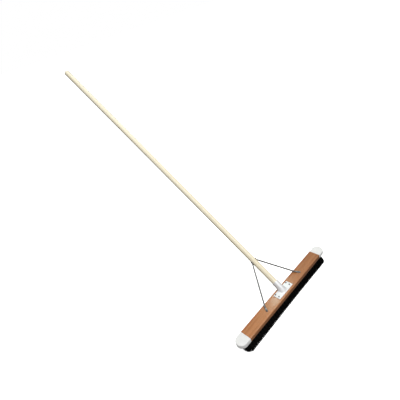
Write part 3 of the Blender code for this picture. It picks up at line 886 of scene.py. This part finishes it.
def build_broom():
    in_stock = [screw_hole(node, UP) for node in BRACKET_SCREWS]
    in_handle = [screw_hole("handle_screw", UNDER)]
    for side, name in ((-1, "left"), (1, "right")):
        in_stock.append(screw_hole("stay_foot_screw_" + name, UP))
        in_stock.append(screw_hole("buffer_screw_" + name, Y_WAY))
        in_handle.append(screw_hole("stay_top_screw_" + name, side * X_WAY))
        build_buffer("buffer_" + name, side, screw_hole("buffer_screw_" + name, Y_WAY))
        build_stay(name, side)
        pan_screw("buffer_screw_" + name, Y_WAY, *SMALL_PAN)
        pan_screw("stay_foot_screw_" + name, UP, *LARGE_PAN)
        pan_screw("stay_top_screw_" + name, side * X_WAY, *LARGE_PAN)
    build_stock(in_stock)
    build_bracket(BRACKET_SCREWS)
    for node in BRACKET_SCREWS:
        countersunk_screw(node)
    build_handle(in_handle)
    pan_screw("handle_screw", UNDER, *SMALL_PAN)
    for number, row in enumerate(ROWS):
        build_row(row, number + 1)


build_broom()

# Floor, light and camera.

CAMERA_PLACE = Vector((-0.680, -0.621, 1.164))
CAMERA_HEADING = math.radians(-34.21)
CAMERA_PITCH = math.radians(-31.13)
CAMERA_ROLL = math.radians(-18.39)
LENS, SENSOR = 28.30, 36.0  # mm
GLARE = Vector((-0.035, -0.018, TOP))  # where the varnish mirrors the glow lamp into the camera
LAMP_DISTANCE = 3.6
FLOOR_HALF_SIZE = 60.0
FLOOR_GLOW = 0.80
DIM_BELOW, BRIGHT_ABOVE, FADE = 0.12, 0.40, 0.6  # the world's light at heights -FADE and FADE


def build_floor():
    """A pale floor with light of its own, so that shadows on it stay faint."""
    bm = bmesh.new()
    bmesh.ops.create_grid(bm, x_segments=1, y_segments=1, size=FLOOR_HALF_SIZE)
    floor = solid("floor", bm)
    look = Look("floor")
    look.finish(Base_Color=(0.9, 0.9, 0.9, 1), Roughness=0.9)
    look.finish(Emission_Color=(1, 1, 1, 1), Emission_Strength=FLOOR_GLOW)
    floor.data.materials.append(look.material)
    floor.visible_diffuse = False
    floor.visible_glossy = False


def build_world():
    """White where the camera sees it. As light it is dim below and brighter above."""
    world = bpy.data.worlds.new("studio")
    bpy.context.scene.world = world
    world.use_nodes = True
    tree = world.node_tree
    tree.nodes.clear()
    direction = tree.nodes.new("ShaderNodeTexCoord").outputs["Generated"]
    split = tree.nodes.new("ShaderNodeSeparateXYZ")
    tree.links.new(direction, split.inputs[0])
    rising = tree.nodes.new("ShaderNodeMapRange")
    tree.links.new(split.outputs["Z"], rising.inputs["Value"])
    set_range(rising, -FADE, FADE, DIM_BELOW, BRIGHT_ABOVE)
    lit = tree.nodes.new("ShaderNodeBackground")
    tree.links.new(rising.outputs[0], lit.inputs["Strength"])
    seen = tree.nodes.new("ShaderNodeBackground")
    seen.inputs["Strength"].default_value = 1.0
    for background in (lit, seen):
        background.inputs["Color"].default_value = (1, 1, 1, 1)
    path = tree.nodes.new("ShaderNodeLightPath")
    mix = tree.nodes.new("ShaderNodeMixShader")
    output = tree.nodes.new("ShaderNodeOutputWorld")
    tree.links.new(path.outputs["Is Camera Ray"], mix.inputs[0])
    tree.links.new(lit.outputs[0], mix.inputs[1])
    tree.links.new(seen.outputs[0], mix.inputs[2])
    tree.links.new(mix.outputs[0], output.inputs["Surface"])


def area_light(name, way, size, power, aim):
    """A square lamp that lights the aim from the given way."""
    data = bpy.data.lights.new(name, "AREA")
    data.size = size
    data.energy = power
    lamp = bpy.data.objects.new(name, data)
    bpy.context.scene.collection.objects.link(lamp)
    way = Vector(way).normalized()
    lamp.location = Vector(aim) + way * LAMP_DISTANCE
    lamp.rotation_euler = way.to_track_quat("Z", "Y").to_euler()
    return data


def build_camera():
    data = bpy.data.cameras.new("camera")
    data.lens = LENS
    data.sensor_width = SENSOR
    camera = bpy.data.objects.new("camera", data)
    bpy.context.scene.collection.objects.link(camera)
    heading = Matrix.Rotation(CAMERA_HEADING, 4, "Z")
    pitch = Matrix.Rotation(math.pi / 2 + CAMERA_PITCH, 4, "X")
    roll = Matrix.Rotation(CAMERA_ROLL, 4, "Z")
    camera.matrix_world = Matrix.Translation(CAMERA_PLACE) @ heading @ pitch @ roll
    bpy.context.scene.camera = camera


build_floor()
build_world()
area_light("key", (0.05, -0.30, 0.90), 1.5, 99, (0, 0.1, 0.1))
to_glare = GLARE - CAMERA_PLACE
glow = area_light("glow", (to_glare.x, to_glare.y, -to_glare.z), 0.28, 5.6, GLARE)
glow.color = (0.72, 1.0, 0.90)
build_camera()
bpy.context.scene.view_settings.view_transform = "Standard"
